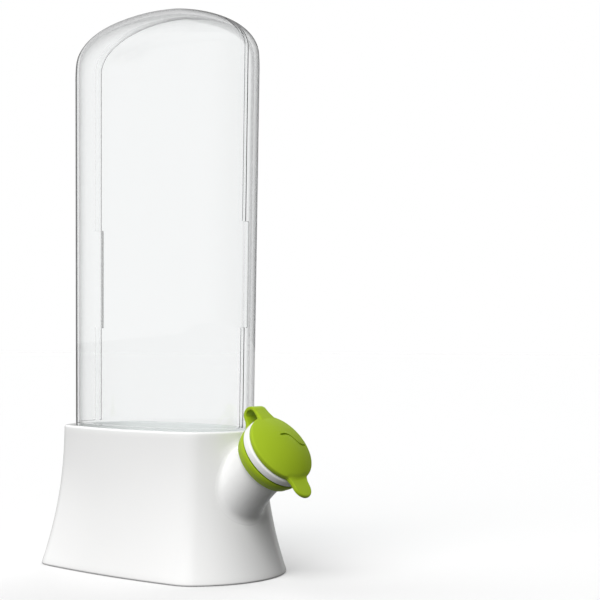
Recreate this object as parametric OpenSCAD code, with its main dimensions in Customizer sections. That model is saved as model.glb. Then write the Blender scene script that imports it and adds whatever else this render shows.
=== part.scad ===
// Herb storage container: a clear two-part pod that stands in a flared water base with a capped spout.
// Millimetres, +Z up. The origin is on the ground at the middle of the foot, +X points to the spout
// and -Y to the removable door.

/* [Overall] */
// Height from the ground to the top of the dome
overall_h = 275; // [240:1:310]

/* [Base] */
// Height of the base's rim
base_h = 69; // [62:1:80]
// Length of the foot along X
foot_len = 133; // [122:1:145]
// Width of the foot along Y
foot_wid = 78; // [74:1:90]
// Corner radius of the foot
foot_corner = 15.5; // [13:0.5:20]
// How far the foot's end walls bow outwards
foot_end_bow = 8.5; // [3:0.5:10]
// How far the foot's long walls bow outwards
foot_side_bow = 2.4; // [1:0.2:5]
// Length of the rim along X
rim_len = 109.4; // [104:0.2:118]
// Width of the rim along Y
rim_wid = 65.2; // [62:0.2:72]
// Corner radius of the rim
rim_corner = 12.4; // [11:0.2:16]
// How far the rim's end walls bow outwards
rim_end_bow = 5; // [2:0.5:7]
// How far the rim's long walls bow outwards
rim_side_bow = 5; // [2:0.2:6]
// Power of the flare: a higher one keeps the walls upright for longer
flare_power = 2.16; // [1.6:0.02:3]
// Thickness of the base's flared wall
base_wall = 2.6; // [2:0.1:3.2]
// Rounding of the rim's outer edge
rim_round = 1; // [0.5:0.1:1.3]
// Rounding of the foot's outer edge
foot_round = 1.2; // [0.6:0.1:1.6]
// Thickness of the welded bottom plate
floor_t = 2.5; // [2:0.1:4]
// Width of the shoulder that the bottom plate is welded against
floor_shoulder = 1.3; // [0.8:0.1:1.5]

/* [Pod] */
// Thickness of the clear wall
pod_wall = 2.4; // [2:0.1:2.8]
// Thickness of the base's rim around the pod
rim_wall = 3.1; // [2.6:0.1:3.6]
// Running gap between the pod and the rim
pod_gap = 0.5; // [0.4:0.05:0.7]
// How far the pod drops into the base
pod_engage = 12; // [8:0.5:14]
// Corner radius of the pod
pod_corner = 13.8; // [11:0.2:15]
// How much wider the pod is at its top than at the rim, as a ratio
pod_spread = 1.05; // [1:0.005:1.06]
// Height over which the ends curve in to the top
dome_end_rise = 24; // [18:1:34]
// Height over which the long sides curve in to the top
dome_side_rise = 32; // [24:1:40]
// Height of the ledge that carries the pod
ledge_t = 2.5; // [1.6:0.1:3.5]
// Overlap of the ledge under the pod's wall
ledge_w = 2.2; // [1.6:0.1:2.4]
// Height of the pod's closed ring above the rim
ring_rise = 1.2; // [0.6:0.1:3]

/* [Door] */
// Gap along the seam between the door and the back shell
seam_gap = 0.3; // [0.2:0.05:0.4]
// Width of the door's lip inside the back shell
lip_w = 3; // [2:0.1:3.6]
// Width of the snap tabs at the door's ends
tab_w = 5; // [4:0.1:6]
// Height of the snap tabs
tab_h = 50; // [30:1:60]
// Height of the snap tabs above the rim
tab_rise = 49; // [40:1:60]

/* [Stem basket] */
// Width of the lip in the pod's ring that carries the basket
basket_lip_w = 1.6; // [1.2:0.1:2]
// Thickness of that lip
basket_lip_t = 1.6; // [1.2:0.1:2]
// Clearance around the basket
basket_gap = 0.25; // [0.15:0.05:0.4]
// Thickness of the basket's wall and floor
basket_wall = 1.6; // [1.2:0.1:2]
// Thickness of the basket's flange
basket_flange_t = 2; // [1.4:0.1:3]
// How much each side of the basket draws in towards its floor
basket_draft = 3; // [1.5:0.5:4]
// Height of the basket's floor above the ground
basket_z = 8; // [6:0.5:14]
// Diameter of the holes in the basket's floor
hole_d = 5; // [4:0.5:6]
// Spacing of those holes
hole_pitch = 9.5; // [9:0.5:12]
// Clear rim of the floor around those holes
hole_margin = 3.2; // [2:0.1:5]
// Width of the slots in the basket's walls
slot_w = 3; // [2:0.5:4]
// Height of the slots above the underside of the basket
slot_sill = 4.8; // [4:0.1:8]
// Share of the basket's height that the slots take
slot_share = 0.6; // [0.4:0.05:0.7]

/* [Spout] */
// Tilt of the spout above the horizontal
spout_tilt = 37; // [34:1:40]
// Height at which the spout's axis leaves the end wall
spout_z = 46; // [44:0.1:47]
// Length from the end wall to the cap's seat, along the axis
spout_reach = 25.5; // [24.5:0.1:30]
// Outer radius of the neck at its waist
neck_r = 13.6; // [13:0.1:14.2]
// Length of the neck's straight stretch below the cap's seat
neck_straight = 16; // [14:0.5:18]
// Radius of the concave flare from the waist to the end wall
neck_flare_r = 62; // [46:1:80]
// Radius of the neck's bore
bore_r = 11.4; // [10.6:0.1:11.6]
// Chamfer around the bore's mouth
mouth_chamfer = 0.8; // [0.5:0.1:1.2]
// Radius of the pouring lip
lip_r = 17.6; // [17:0.1:18]
// Height of the pouring lip
lip_h = 3.7; // [2.6:0.1:4.2]
// Rounding of the pouring lip
lip_round = 1.2; // [0.6:0.1:1.6]

/* [Anchor ring] */
// Height of the ring along the neck
ring_h = 6.5; // [5:0.1:7.5]
// Outer radius of the ring
ring_r = 17.3; // [16.6:0.1:17.6]
// Outer radius of the ring at its lower edge
ring_low_r = 16.1; // [15.2:0.1:16.6]
// Depth of the groove that holds the ring
groove_depth = 0.6; // [0.4:0.1:0.8]
// Rounding of the ring's upper edge
ring_edge = 0.5; // [0.3:0.1:0.8]

/* [Cap] */
// Radius of the cap at its lower edge
cap_r = 17.4; // [17:0.1:17.8]
// Radius of the cap where the dome starts
cap_top_r = 16.8; // [16.2:0.1:17]
// Height of the cap's edge wall
cap_edge_h = 2.6; // [2:0.1:3.6]
// Height of the dome above the edge wall
dome_h = 4; // [3:0.1:7]
// Rounding of the cap's lower edge
cap_edge_round = 0.3; // [0.2:0.1:0.5]
// Depth of the plug below the cap
plug_depth = 4.5; // [3:0.1:5]
// Width of the plug's wall
plug_wall = 2.2; // [1.6:0.1:3]
// Depth to which the plug is hollow above the cap's lower edge
plug_hollow = 1; // [0.5:0.1:2]
// Taper of the plug's radius over its depth
plug_taper = 0.8; // [0.6:0.1:1.2]
// Clearance between the plug and the bore
plug_gap = 0.4; // [0.3:0.05:0.6]
// Clearance between the cap and the pouring lip
cap_gap = 0.3; // [0.2:0.05:0.4]
// Width of the pull tab
pull_w = 10; // [8:0.5:12]
// Reach of the pull tab past the cap's edge
pull_len = 9.2; // [7:0.1:12]
// Thickness of the pull tab
pull_t = 2; // [1.6:0.1:2.2]

/* [Strap] */
// Outer radius of the hinge loop
loop_r = 4.1; // [3.9:0.1:4.6]
// Thickness of the strap
strap_t = 1.6; // [1.4:0.1:1.8]
// Width of the strap
strap_w = 8.2; // [6:0.2:10]
// Distance from the cap's axis to the loop's centre
loop_out = 20.1; // [19.8:0.1:20.4]
// Drop of the loop's centre below the cap's lower edge
loop_drop = 2.2; // [1.8:0.1:2.4]
// Reach of the strap's foot below the loop's centre
strap_foot = 6.6; // [5.4:0.1:7]
// Parting gap between the strap and the cap
strap_gap = 0.15; // [0.1:0.05:0.3]

/* [Hidden] */

// Facets of round parts, and steps along each quarter of an outline
$fn = 96;
end_steps = 6;
corner_steps = 4;
side_steps = 4;
flare_steps = 9;
dome_steps = 11;
dome_sweep = 87;
cap_steps = 10;
big = 400;
cut = 1;

// Places along the height
seat_z = base_h - pod_engage;
pod_z = seat_z + seam_gap;
ring_z = base_h + ring_rise;
door_z = ring_z + seam_gap;
tab_z = base_h + tab_rise;

// Half sizes of the pod's outline at the rim
pod_a = rim_len/2 - rim_wall - pod_gap;
pod_b = rim_wid/2 - rim_wall - pod_gap;

// Bowed outline
function bow_radius(half, bow) = (half*half + bow*bow)/(2*bow);

// A quarter of a rectangle with bowed sides and round corners, from the end's middle to the side's
function quarter(a, b, end_bow, side_bow, r) =
    let (cx = a - r - end_bow, cy = b - r - side_bow,
        end_r = bow_radius(cy, end_bow), side_r = bow_radius(cx, side_bow),
        end_t = asin(cy/end_r), side_t = asin(cx/side_r))
    concat(
        [for (i = [0:end_steps - 1]) let (t = end_t*i/end_steps)
            [a - r - end_r + (end_r + r)*cos(t), (end_r + r)*sin(t)]],
        [for (i = [0:corner_steps - 1]) let (t = end_t + (90 - end_t - side_t)*i/corner_steps)
            [cx + r*cos(t), cy + r*sin(t)]],
        [for (i = [0:side_steps]) let (t = side_t*(1 - i/side_steps))
            [(side_r + r)*sin(t), b - r - side_r + (side_r + r)*cos(t)]]);

// The whole outline, anticlockwise from +X
function around(q) = let (n = len(q) - 1) concat(
    [for (i = [0:n - 1]) q[i]],
    [for (i = [n:-1:1]) [-q[i].x, q[i].y]],
    [for (i = [0:n - 1]) -q[i]],
    [for (i = [n:-1:1]) [q[i].x, -q[i].y]]);

function at(points, z) = [for (p = points) [p.x, p.y, z]];

// A solid through rings of points, from the lowest to the highest
module loft(rings) {
    n = len(rings[0]);
    m = len(rings);
    sides = [for (k = [0:m - 2], i = [0:n - 1]) let (j = (i + 1)%n, low = k*n, high = low + n)
        each [[low + i, high + i, high + j], [low + i, high + j, low + j]]];
    polyhedron(
        points = [for (ring = rings) each ring],
        faces = concat([[for (i = [0:n - 1]) i]], sides, [[for (i = [n - 1:-1:0]) (m - 1)*n + i]]));
}

// Base
function flare(z) = pow(1 - min(max(z/base_h, 0), 1), flare_power);
function blend(rim, foot, z) = rim + (foot - rim)*flare(z);
function base_outline(z, inset) = around(quarter(
    blend(rim_len, foot_len, z)/2 - inset,
    blend(rim_wid, foot_wid, z)/2 - inset,
    blend(rim_end_bow, foot_end_bow, z),
    blend(rim_side_bow, foot_side_bow, z),
    blend(rim_corner, foot_corner, z) - inset));

// Levels of the base's outer skin: height and how far the round edges draw it in
base_levels = concat(
    [for (t = [90:-30:0]) [foot_round*(1 - sin(t)), foot_round*(1 - cos(t))]],
    [for (i = [1:flare_steps - 1]) [foot_round + (base_h - rim_round - foot_round)*i/flare_steps, 0]],
    [for (t = [0:30:90]) [base_h - rim_round*(1 - sin(t)), rim_round*(1 - cos(t))]]);

module base_skin() {
    loft([for (l = base_levels) at(base_outline(l[0], l[1]), l[0])]);
}

// The pod's outline, drawn in by off from its outer face, or let out where off is negative
function pod_outline(off) = around(quarter(pod_a - off, pod_b - off, rim_end_bow, rim_side_bow, pod_corner - off));

under_ledge_z = seat_z - ledge_t;
ledge_foot_z = under_ledge_z - base_wall;
floor_outline = base_outline(floor_t, base_wall - floor_shoulder);

// The water space: flared walls, the underside of the ledge, and the collar that takes the pod
module base_cavity() {
    low_z = floor_t - cut;
    loft(concat(
        [for (i = [0:flare_steps - 2]) let (z = low_z + (ledge_foot_z - low_z)*i/(flare_steps - 2))
            at(base_outline(z, base_wall), z)],
        [at(pod_outline(ledge_w), under_ledge_z), at(pod_outline(ledge_w), seat_z + cut)]));
    loft([at(pod_outline(-pod_gap), seat_z), at(pod_outline(-pod_gap), base_h - rim_round/2),
        at(pod_outline(-pod_gap - rim_round/2 - cut), base_h + cut)]);
}

// The spout's own frame: Z along its axis from the end wall, X down the face of the cap
module spout_frame() {
    translate([blend(rim_len, foot_len, spout_z)/2, 0, spout_z]) rotate([0, 90 - spout_tilt, 0]) children();
}

module base_shell() color("white") difference() {
    base_skin();
    base_cavity();
    loft([at(floor_outline, -cut), at(floor_outline, floor_t)]);
    intersection() {
        spout_frame() translate([0, 0, -neck_r]) cylinder(r = bore_r, h = 2*neck_r);
        translate([0, -big/2, 0]) cube([big, big, ledge_foot_z]);
    }
}

module base_floor() color("white") linear_extrude(floor_t) polygon(floor_outline);

// Spout: a waisted neck with a groove for the anchor ring, a rounded lip and an open bore.
// Heights along the axis are measured from the end wall.
mouth_z = spout_reach - cap_gap;
ring_top = mouth_z - lip_h;
ring_low = ring_top - ring_h;
waist_z = spout_reach - neck_straight;
root_z = -neck_r;
groove_r = neck_r - groove_depth;
module neck_profile() polygon(concat(
    [[0, root_z]],
    [for (i = [flare_steps:-1:1]) let (z = (waist_z - root_z)*i/flare_steps)
        [neck_r + neck_flare_r - sqrt(neck_flare_r*neck_flare_r - z*z), waist_z - z]],
    [[neck_r, waist_z], [neck_r, ring_low], [groove_r, ring_low], [groove_r, ring_top],
        [lip_r - ring_edge, ring_top], [lip_r, ring_top + ring_edge]],
    [for (t = [0:15:90]) [lip_r - lip_round*(1 - cos(t)), mouth_z - lip_round*(1 - sin(t))]],
    [[0, mouth_z]]));

module spout_neck() color("white") difference() {
    spout_frame() difference() {
        rotate_extrude() neck_profile();
        translate([0, 0, root_z - cut]) cylinder(r = bore_r, h = mouth_z - root_z + 2*cut);
        translate([0, 0, mouth_z - mouth_chamfer])
            cylinder(r1 = bore_r, r2 = bore_r + mouth_chamfer + cut, h = mouth_chamfer + cut);
    }
    base_skin();
}

module ring_profile() polygon([
    [groove_r, ring_low], [ring_low_r - ring_edge, ring_low], [ring_low_r, ring_low + ring_edge],
    [ring_r, ring_low + ring_h/2], [ring_r, ring_top - ring_edge], [ring_r - ring_edge, ring_top],
    [groove_r, ring_top]]);

module anchor_ring() color("yellowgreen") spout_frame() rotate_extrude() ring_profile();

// Strap: a C-shaped loop with a foot, which runs from the ring round the lip to the cap's edge.
// The cap turns about the loop's centre.
foot_x = loop_out - ring_r + ring_edge;
module loop_frame() {
    translate([-loop_out, strap_w/2, spout_reach - loop_drop]) rotate([90, 0, 0]) linear_extrude(strap_w) children();
}

module cap_strap() color("yellowgreen") spout_frame() difference() {
    loop_frame() difference() {
        union() {
            circle(r = loop_r);
            square([loop_out - cap_top_r, loop_r]);
            polygon([[-loop_r/2, 0], [-loop_r/2, -loop_r*sqrt(3)/2], [foot_x, -strap_foot], [foot_x, 0]]);
        }
        circle(r = loop_r - strap_t);
    }
    translate([0, 0, spout_reach - strap_gap]) cylinder(r = cap_r + strap_gap, h = cap_edge_h + dome_h);
    translate([0, 0, ring_top]) cylinder(r = lip_r + cap_gap, h = lip_h + cap_gap);
    rotate_extrude() ring_profile();
    cylinder(r = (ring_low_r + neck_r)/2, h = ring_top);
}

// Cap: a domed silicone disc with a hollow plug and a pull tab
dome_r = bow_radius(cap_top_r, dome_h);
dome_t = asin(cap_top_r/dome_r);
plug_r = bore_r - plug_gap;
module cap_profile() polygon(concat(
    [[0, 0], [cap_r - cap_edge_round, 0], [cap_r, cap_edge_round]],
    [for (i = [0:cap_steps]) let (t = dome_t*(1 - i/cap_steps))
        [dome_r*sin(t), cap_edge_h + dome_h - dome_r*(1 - cos(t))]]));

module spout_cap() color("yellowgreen") spout_frame() translate([0, 0, spout_reach]) difference() {
    union() {
        rotate_extrude() cap_profile();
        translate([0, 0, -plug_depth])
            cylinder(r1 = plug_r - plug_taper, r2 = plug_r, h = plug_depth + plug_hollow/2);
        translate([0, 0, cap_edge_round]) linear_extrude(pull_t) {
            translate([cap_r + pull_len - pull_w/2, 0]) circle(d = pull_w);
            translate([cap_r - plug_wall, -pull_w/2]) square([pull_len + plug_wall - pull_w/2, pull_w]);
        }
    }
    translate([0, 0, -plug_depth - cut])
        cylinder(r1 = plug_r - plug_taper - plug_wall, r2 = plug_r - plug_wall, h = plug_depth + plug_hollow + cut);
}

// Pod
dome_end_z = overall_h - dome_end_rise;
dome_side_z = overall_h - dome_side_rise;
dome_end_power = 2;
dome_side_power = 2.15;
function rise(z, from_z, off) = min(max((z - from_z)/(overall_h - off - from_z), 0), 1);
function taper(z, from_z, off, power) = pow(1 - pow(rise(z, from_z, off), power), 1/power);
function spread(z) = 1 + (pod_spread - 1)*(z - base_h)/(overall_h - base_h);
function pod_ring(z, off) = let (
    kx = spread(z)*taper(z, dome_end_z, min(off, pod_wall), dome_end_power),
    ky = spread(z)*taper(z, dome_side_z, min(off, pod_wall), dome_side_power))
    [for (p = pod_outline(off)) [p.x*kx, p.y*ky, z]];

low_z = min(dome_end_z, dome_side_z);
function dome_levels(off) = [for (i = [0:dome_steps]) low_z + (overall_h - off - low_z)*sin(dome_sweep*i/dome_steps)];

module pod_shell() difference() {
    loft(concat([pod_ring(pod_z, 0)], [for (z = dome_levels(0)) pod_ring(z, 0)]));
    loft(concat(
        [pod_ring(pod_z - cut, pod_wall + basket_lip_w), pod_ring(pod_z + basket_lip_t, pod_wall + basket_lip_w),
            pod_ring(pod_z + basket_lip_t, pod_wall)],
        [for (z = dome_levels(pod_wall)) pod_ring(z, pod_wall)]));
}

// A block along Y whose outline is the pod's side profile at the seam, drawn in by off
module seam_block(off, y0, y1) {
    levels = concat([ring_z], dome_levels(off));
    half = [for (z = levels) [(pod_a - off)*spread(z)*taper(z, dome_end_z, off, dome_end_power), z]];
    translate([0, y1, 0]) rotate([90, 0, 0]) linear_extrude(y1 - y0)
        polygon(concat(half, [for (i = [len(half) - 1:-1:0]) [-half[i].x, half[i].y]]));
}

module slab(y0, y1, z0, z1) translate([-big/2, y0, z0]) cube([big, y1 - y0, z1 - z0]);

mid_off = pod_wall/2;

module pod_back_shell() color([0.9, 0.95, 0.97, 0.35]) difference() {
    pod_shell();
    slab(-big, seam_gap, ring_z, big);
    seam_block(mid_off - seam_gap/2, 0, lip_w + seam_gap);
    difference() {
        slab(0, tab_w + seam_gap, tab_z - seam_gap, tab_z + tab_h + seam_gap);
        seam_block(mid_off + seam_gap/2, -cut, tab_w + 2*cut);
    }
}

module pod_door() color([0.9, 0.95, 0.97, 0.35]) {
    intersection() {
        pod_shell();
        union() {
            slab(-big, 0, door_z, big);
            intersection() {
                seam_block(mid_off + seam_gap/2, -cut, lip_w);
                slab(-cut, lip_w, door_z, big);
            }
            difference() {
                slab(-cut, tab_w, tab_z, tab_z + tab_h);
                seam_block(mid_off - seam_gap/2, lip_w, tab_w + cut);
            }
        }
    }
}

// Stem basket: hangs on the lip in the pod's ring and dips into the water
basket_off = pod_wall + basket_lip_w + basket_gap;
flange_z = pod_z + basket_lip_t;
basket_top = flange_z + basket_flange_t;
module basket_tub(inset, z0, z1) {
    function tub_off(z) = basket_off + inset + basket_draft*(flange_z - z)/(flange_z - basket_z);
    loft([at(pod_outline(tub_off(z0)), z0), at(pod_outline(tub_off(z1)), z1)]);
}

// Rows and columns of holes on each side of the middle of the floor
floor_inset = basket_off + basket_draft + hole_margin;
hole_rows = floor((pod_b - floor_inset - hole_d/2)/hole_pitch);
hole_cols = floor((pod_a - floor_inset - hole_d/2)/hole_pitch);
module stem_basket() color("whitesmoke") difference() {
    union() {
        difference() {
            union() {
                basket_tub(0, basket_z, flange_z);
                translate([0, 0, flange_z]) linear_extrude(basket_flange_t)
                    polygon(pod_outline(pod_wall + basket_gap));
            }
            basket_tub(basket_wall, basket_z + basket_wall, basket_top + cut);
        }
        intersection() {
            basket_tub(basket_wall/2, basket_z + basket_wall/2, flange_z);
            translate([-basket_wall/2, -big/2, 0]) cube([basket_wall, big, flange_z - basket_lip_t]);
        }
    }
    for (i = [-hole_cols:hole_cols - 1], j = [-hole_rows:hole_rows])
        translate([(i + 0.5)*hole_pitch, j*hole_pitch, basket_z - cut]) cylinder(d = hole_d, h = basket_wall + 2*cut);
    for (i = [-hole_cols + 1:hole_cols - 2])
        translate([(i + 0.5)*hole_pitch - slot_w/2, -big/2, basket_z + slot_sill])
            cube([slot_w, big, (flange_z - basket_z)*slot_share]);
}

base_shell();
base_floor();
spout_neck();
anchor_ring();
cap_strap();
spout_cap();
pod_back_shell();
pod_door();
stem_basket();
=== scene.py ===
# %% [markdown]
# # Food keeper: a clear pod in a white water base
#
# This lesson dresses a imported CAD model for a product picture. The CAD solids are exact but faceted, so
# the pieces that catch reflections are modelled again with many more steps, from the same sizes, and
# stand for their solids. The scene is in metres and the sizes below are in millimetres, with +Z up, +X
# towards the spout and -Y towards the door.

import math

import bmesh
import bpy
from mathutils import Matrix, Vector


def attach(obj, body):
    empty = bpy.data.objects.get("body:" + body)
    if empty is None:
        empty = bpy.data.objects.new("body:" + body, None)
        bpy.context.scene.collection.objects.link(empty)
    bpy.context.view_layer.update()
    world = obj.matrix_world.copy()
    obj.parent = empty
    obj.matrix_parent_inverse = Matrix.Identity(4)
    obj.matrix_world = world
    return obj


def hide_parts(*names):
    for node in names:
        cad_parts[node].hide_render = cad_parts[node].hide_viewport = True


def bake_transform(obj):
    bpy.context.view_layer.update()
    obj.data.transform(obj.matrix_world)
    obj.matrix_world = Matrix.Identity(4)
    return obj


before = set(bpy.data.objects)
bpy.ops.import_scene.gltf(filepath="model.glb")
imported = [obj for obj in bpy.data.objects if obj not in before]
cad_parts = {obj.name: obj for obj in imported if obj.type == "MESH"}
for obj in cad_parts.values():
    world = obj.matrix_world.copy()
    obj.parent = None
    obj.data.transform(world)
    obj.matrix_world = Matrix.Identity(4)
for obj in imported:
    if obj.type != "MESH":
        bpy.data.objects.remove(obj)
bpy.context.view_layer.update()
scene = bpy.context.scene

# %% [markdown]
# ## The camera
#
# A product picture of this height is taken from about three quarters of a metre with a short telephoto
# lens. The camera could be aimed with a constraint, but a matrix built from its own three axes is exact
# and has nothing left to evaluate.

# %% Camera
MM = 0.001
IMAGE_PX = 600
FOCAL_PX = 1427.13
SENSOR_MM = 36
CAMERA_PLACE = Vector((508.57, -496.95, 111.66)) * MM
CAMERA_AZIMUTH = math.radians(40.22)
CAMERA_ELEVATION = math.radians(-1.63)
CAMERA_ROLL = math.radians(0.25)


def look_axes(azimuth, elevation, roll):
    """The camera's right, up and back axes."""
    level = Vector((math.cos(azimuth), math.sin(azimuth), 0))
    back = Vector((math.sin(azimuth) * math.cos(elevation), -math.cos(azimuth) * math.cos(elevation),
                   math.sin(elevation)))
    upright = back.cross(level)
    right = math.cos(roll) * level + math.sin(roll) * upright
    up = math.cos(roll) * upright - math.sin(roll) * level
    return right, up, back


lens = bpy.data.cameras.new("portrait_lens")
lens.sensor_width = SENSOR_MM
lens.lens = FOCAL_PX / IMAGE_PX * SENSOR_MM
lens.clip_start = 0.01
camera = bpy.data.objects.new("portrait_camera", lens)
axes = Matrix(look_axes(CAMERA_AZIMUTH, CAMERA_ELEVATION, CAMERA_ROLL)).transposed()
camera.matrix_world = Matrix.Translation(CAMERA_PLACE) @ axes.to_4x4()
scene.collection.objects.link(camera)
scene.camera = camera
print("lens", round(lens.lens, 2), "mm")

# %% [markdown]
# ## Studio
#
# Glossy white plastic shows its shape by what it mirrors, so an even white room would leave it flat. The
# room here is bright on one side and dark on the other, which could be done with large light panels. A
# world that fades across the sky does the same without anything standing in the picture. Gloss sees the
# fade at full strength, and as soft light on dull faces it counts only in part. What the camera sees,
# also through clear plastic, is plain white from Light Path, so the light on the object can stay at a
# level at which colours render about as they are written.

# %% World
BRIGHT_SIDE = Vector((-0.2, -0.85, 0.45)).normalized()
FADE_FROM, FADE_TO = -0.75, 0.55
DARK_LEVEL = 0.08
SOFT_LEVEL = 0.17
WHITE = (1, 1, 1, 1)


def put(tree, kind, **values):
    """A shader node with its plain properties and socket values set."""
    node = tree.nodes.new(kind)
    for name, value in values.items():
        if hasattr(node, name):
            setattr(node, name, value)
        else:
            node.inputs[name.replace("_", " ")].default_value = value
    return node


def seen_directly(tree):
    """1 for what the camera sees, also through clear plastic."""
    rays = put(tree, "ShaderNodeLightPath")
    either = put(tree, "ShaderNodeMath", operation="MAXIMUM")
    tree.links.new(rays.outputs["Is Camera Ray"], either.inputs[0])
    tree.links.new(rays.outputs["Is Transmission Ray"], either.inputs[1])
    return rays, either.outputs[0]


def mixed(tree, factor, first, second):
    """One shader where the factor is 0 and another where it is 1."""
    node = put(tree, "ShaderNodeMixShader")
    for source, socket in zip((factor, first.outputs[0], second.outputs[0]), node.inputs):
        tree.links.new(source, socket)
    return node.outputs[0]


scene.view_settings.view_transform = "Standard"
world = bpy.data.worlds.new("studio")
world.use_nodes = True
scene.world = world
sky = world.node_tree
sky.nodes.clear()
rays, direct = seen_directly(sky)
soft = put(sky, "ShaderNodeBackground", Color=WHITE)
aim = put(sky, "ShaderNodeTexCoord")
facing = put(sky, "ShaderNodeVectorMath", operation="DOT_PRODUCT")
facing.inputs[1].default_value = BRIGHT_SIDE
fade = put(sky, "ShaderNodeMapRange", interpolation_type="SMOOTHSTEP")
fade.inputs["From Min"].default_value = FADE_FROM
fade.inputs["From Max"].default_value = FADE_TO
fade.inputs["To Min"].default_value = DARK_LEVEL
level = put(sky, "ShaderNodeMapRange")
level.inputs["To Min"].default_value = SOFT_LEVEL
strength = put(sky, "ShaderNodeMath", operation="MULTIPLY")
plain = put(sky, "ShaderNodeBackground", Color=WHITE, Strength=1.0)
shown = put(sky, "ShaderNodeOutputWorld")
link = sky.links.new
link(aim.outputs["Generated"], facing.inputs[0])
link(facing.outputs["Value"], fade.inputs["Value"])
link(rays.outputs["Is Glossy Ray"], level.inputs["Value"])
link(fade.outputs["Result"], strength.inputs[0])
link(level.outputs["Result"], strength.inputs[1])
link(strength.outputs[0], soft.inputs["Strength"])
link(mixed(sky, direct, soft, plain), shown.inputs["Surface"])
print("world", len(sky.nodes), "nodes")

# %% [markdown]
# The floor is a plain large disc, so that no edge of it comes into any view. A paper sweep would need a
# bend, and the bend would show from some side. It has two paints. The camera and clear plastic see a
# pale one, which takes the object's shadow, plus a small glow that makes it as white as the world behind
# it and so hides the horizon. Gloss sees a part of that. The light that the floor throws back comes from
# a nearly black card, which keeps the undersides dark.

# %% Floor
FLOOR_RADIUS = 12.0
FLOOR_BOUNCE = (0.06, 0.06, 0.06, 1)
FLOOR_SHADED = (0.6, 0.6, 0.6, 1)
FLOOR_GLOW = 0.2
FLOOR_IN_GLOSS = 0.4

floor_bm = bmesh.new()
bmesh.ops.create_circle(floor_bm, cap_ends=True, segments=96, radius=FLOOR_RADIUS)
floor_mesh = bpy.data.meshes.new("floor")
floor_bm.to_mesh(floor_mesh)
floor_bm.free()
floor = bpy.data.objects.new("floor", floor_mesh)
scene.collection.objects.link(floor)
floor_paint = bpy.data.materials.new("pale_floor")
floor_paint.use_nodes = True
paint = floor_paint.node_tree
paint.nodes.clear()
rays, direct = seen_directly(paint)
card = put(paint, "ShaderNodeBsdfDiffuse", Color=FLOOR_BOUNCE)
shaded = put(paint, "ShaderNodeBsdfDiffuse", Color=FLOOR_SHADED)
glow = put(paint, "ShaderNodeEmission", Color=WHITE, Strength=FLOOR_GLOW)
pale = put(paint, "ShaderNodeAddShader")
laid = put(paint, "ShaderNodeOutputMaterial")
seen = put(paint, "ShaderNodeMath", operation="MULTIPLY_ADD", use_clamp=True)
seen.inputs[1].default_value = FLOOR_IN_GLOSS
link = paint.links.new
link(shaded.outputs[0], pale.inputs[0])
link(glow.outputs[0], pale.inputs[1])
link(rays.outputs["Is Glossy Ray"], seen.inputs[0])
link(direct, seen.inputs[2])
link(mixed(paint, seen.outputs[0], card, pale), laid.inputs["Surface"])
floor_mesh.materials.append(floor_paint)
print("floor", FLOOR_RADIUS, "m in radius")

# %% [markdown]
# Three suns with wide discs give the soft shading: a key from the front, one from the far end and a fill
# from behind, so that no side is dull. Area lamps would do too, but they would have to be placed again
# for every size of object, and they fall off with distance. The suns are hidden from gloss and from
# clear plastic, where their discs would show as round white patches.

# %% Lamps
SUNS = (("key", (0.25, -0.7, 0.66), 3.45), ("back", (-0.75, -0.05, 0.66), 1.1), ("fill", (-0.35, 0.9, 0.35), 2.2))
SPREAD = 50  # degrees across a sun's disc


def soft_sun(name, direction, strength):
    """A sun with a wide disc: the same soft light at every point of the floor."""
    lamp = bpy.data.lights.new(name, "SUN")
    lamp.energy = strength
    lamp.angle = math.radians(SPREAD)
    holder = bpy.data.objects.new(name, lamp)
    holder.rotation_euler = Vector(direction).to_track_quat("Z", "Y").to_euler()
    holder.visible_glossy = holder.visible_transmission = False
    scene.collection.objects.link(holder)


for sun in SUNS:
    soft_sun(*sun)
    print(sun)

# %% [markdown]
# ## Plastic and silicone
#
# Moulded parts are never perfectly even: the tool's fine spark texture and slight sink show in the
# reflections. One node group gives that fine grain and a broad slow variation, and every material below
# sets its own scale and strength. The grain could be painted on as an image, but noise on Object
# coordinates has no seams and needs no unwrapping.

# %% Shared surface group


def moulded_surface():
    """Fine grain and slow variation of a moulded surface, from Object coordinates."""
    group = bpy.data.node_groups.new("moulded_surface", "ShaderNodeTree")
    for name in ("Grain Scale", "Sink Scale", "Roughness", "Roughness Change"):
        group.interface.new_socket(name, in_out="INPUT", socket_type="NodeSocketFloat")
    for name in ("Grain", "Sink", "Roughness"):
        group.interface.new_socket(name, in_out="OUTPUT", socket_type="NodeSocketFloat")
    inputs = group.nodes.new("NodeGroupInput")
    outputs = group.nodes.new("NodeGroupOutput")
    place = group.nodes.new("ShaderNodeTexCoord")
    grain = put(group, "ShaderNodeTexNoise", Detail=3.0)
    sink = put(group, "ShaderNodeTexNoise", Detail=1.0)
    vary = put(group, "ShaderNodeMapRange")
    vary.inputs["To Min"].default_value = -1
    link = group.links.new
    link(place.outputs["Object"], grain.inputs["Vector"])
    link(place.outputs["Object"], sink.inputs["Vector"])
    link(inputs.outputs["Grain Scale"], grain.inputs["Scale"])
    link(inputs.outputs["Sink Scale"], sink.inputs["Scale"])
    link(sink.outputs["Fac"], vary.inputs["Value"])
    shift = put(group, "ShaderNodeMath", operation="MULTIPLY_ADD")
    link(vary.outputs["Result"], shift.inputs[0])
    link(inputs.outputs["Roughness Change"], shift.inputs[1])
    link(inputs.outputs["Roughness"], shift.inputs[2])
    link(grain.outputs["Fac"], outputs.inputs["Grain"])
    link(sink.outputs["Fac"], outputs.inputs["Sink"])
    link(shift.outputs[0], outputs.inputs["Roughness"])
    return group


SURFACE = moulded_surface()
print("surface group", [item.name for item in SURFACE.interface.items_tree])

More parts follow.
